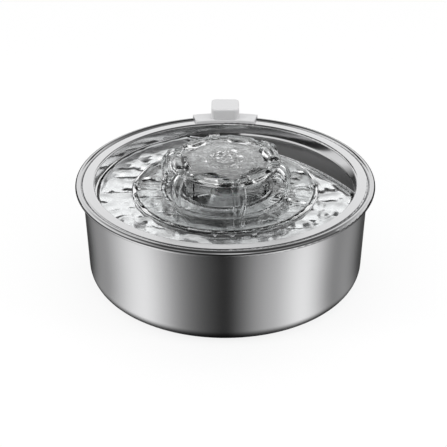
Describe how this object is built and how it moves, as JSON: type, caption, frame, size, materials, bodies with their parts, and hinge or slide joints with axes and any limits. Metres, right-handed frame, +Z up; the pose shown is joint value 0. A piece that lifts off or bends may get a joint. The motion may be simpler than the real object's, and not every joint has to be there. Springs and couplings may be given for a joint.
{
  "type": "pet water fountain",
  "caption": "Round brushed steel water bowl with a lift-out drinking tray, clear flower spout, rear rim clip and a pump under the tray.",
  "frame": {"origin": "middle of the bowl's flat base, on the surface it stands on", "axes": "+Z up along the bowl's axis, -Y to the front, +Y to the rim clip at the back"},
  "size_m": [0.226, 0.236, 0.1012],
  "materials": {
    "bowl_steel": "brushed stainless steel",
    "tray_steel": "polished stainless steel",
    "clear_plastic": "clear moulded plastic",
    "clip_plastic": "light grey moulded plastic",
    "silicone": "translucent silicone",
    "dark_rubber": "black rubber",
    "case_plastic": "white moulded plastic",
    "pump_plastic": "black moulded plastic",
    "fleece": "white non-woven fleece",
    "granules": "activated carbon granules",
    "foam": "open-cell foam",
    "shaft_ceramic": "ground ceramic",
    "ferrite": "sintered ferrite",
    "laminations": "stacked electrical steel",
    "winding": "enamelled copper wire"
  },
  "bodies": {
    "root": {"reservoir_bowl": "bowl_steel", "suction_cups": "silicone", "pump_case": "case_plastic", "filter_holder": "case_plastic", "filter_pad": "fleece", "filter_granules": "granules", "filter_grille": "case_plastic", "foam_block": "foam", "pump_housing": "pump_plastic", "pump_front_cover": "pump_plastic", "pump_seal": "dark_rubber", "rotor_shaft": "shaft_ceramic", "rear_bush": "dark_rubber", "front_bush": "dark_rubber", "stator_core": "laminations", "stator_coil": "winding", "pump_back_cover": "pump_plastic", "cord_gland": "dark_rubber", "outlet_tube": "case_plastic"},
    "tray": {"drinking_tray": "tray_steel", "tray_grommet": "silicone"},
    "flower_stand": {"flower_base": "clear_plastic", "flower_drum": "clear_plastic", "riser_tube": "clear_plastic"},
    "flower_head": {"flower_cap": "clear_plastic", "flower_nozzle": "clear_plastic"},
    "rim_clip": {"clip_band": "clip_plastic", "clip_block": "clip_plastic"},
    "rotor": {"impeller": "case_plastic", "rotor_magnet": "ferrite"},
    "dial": {"flow_dial": "pump_plastic"}
  },
  "joints": [
    {"name": "tray_lift", "type": "slide", "parent": "root", "child": "tray", "axis": [0, 0, 1], "range_m": [0, 0.06]},
    {"name": "flower_lift", "type": "slide", "parent": "tray", "child": "flower_stand", "axis": [0, 0, 1], "range_m": [0, 0.05]},
    {"name": "flower_head_lift", "type": "slide", "parent": "flower_stand", "child": "flower_head", "axis": [0, 0, 1], "range_m": [0, 0.03]},
    {"name": "clip_lift", "type": "slide", "parent": "tray", "child": "rim_clip", "axis": [0, 0, 1], "range_m": [0, 0.03]},
    {"name": "rotor_spin", "type": "hinge", "parent": "root", "child": "rotor", "pos_m": [0, 0, 0.0289], "axis": [0, -1, 0], "continuous": true},
    {"name": "dial_turn", "type": "hinge", "parent": "root", "child": "dial", "pos_m": [0, -0.0091, 0.0289], "axis": [0, -1, 0], "range_deg": [0, 30]}
  ]
}
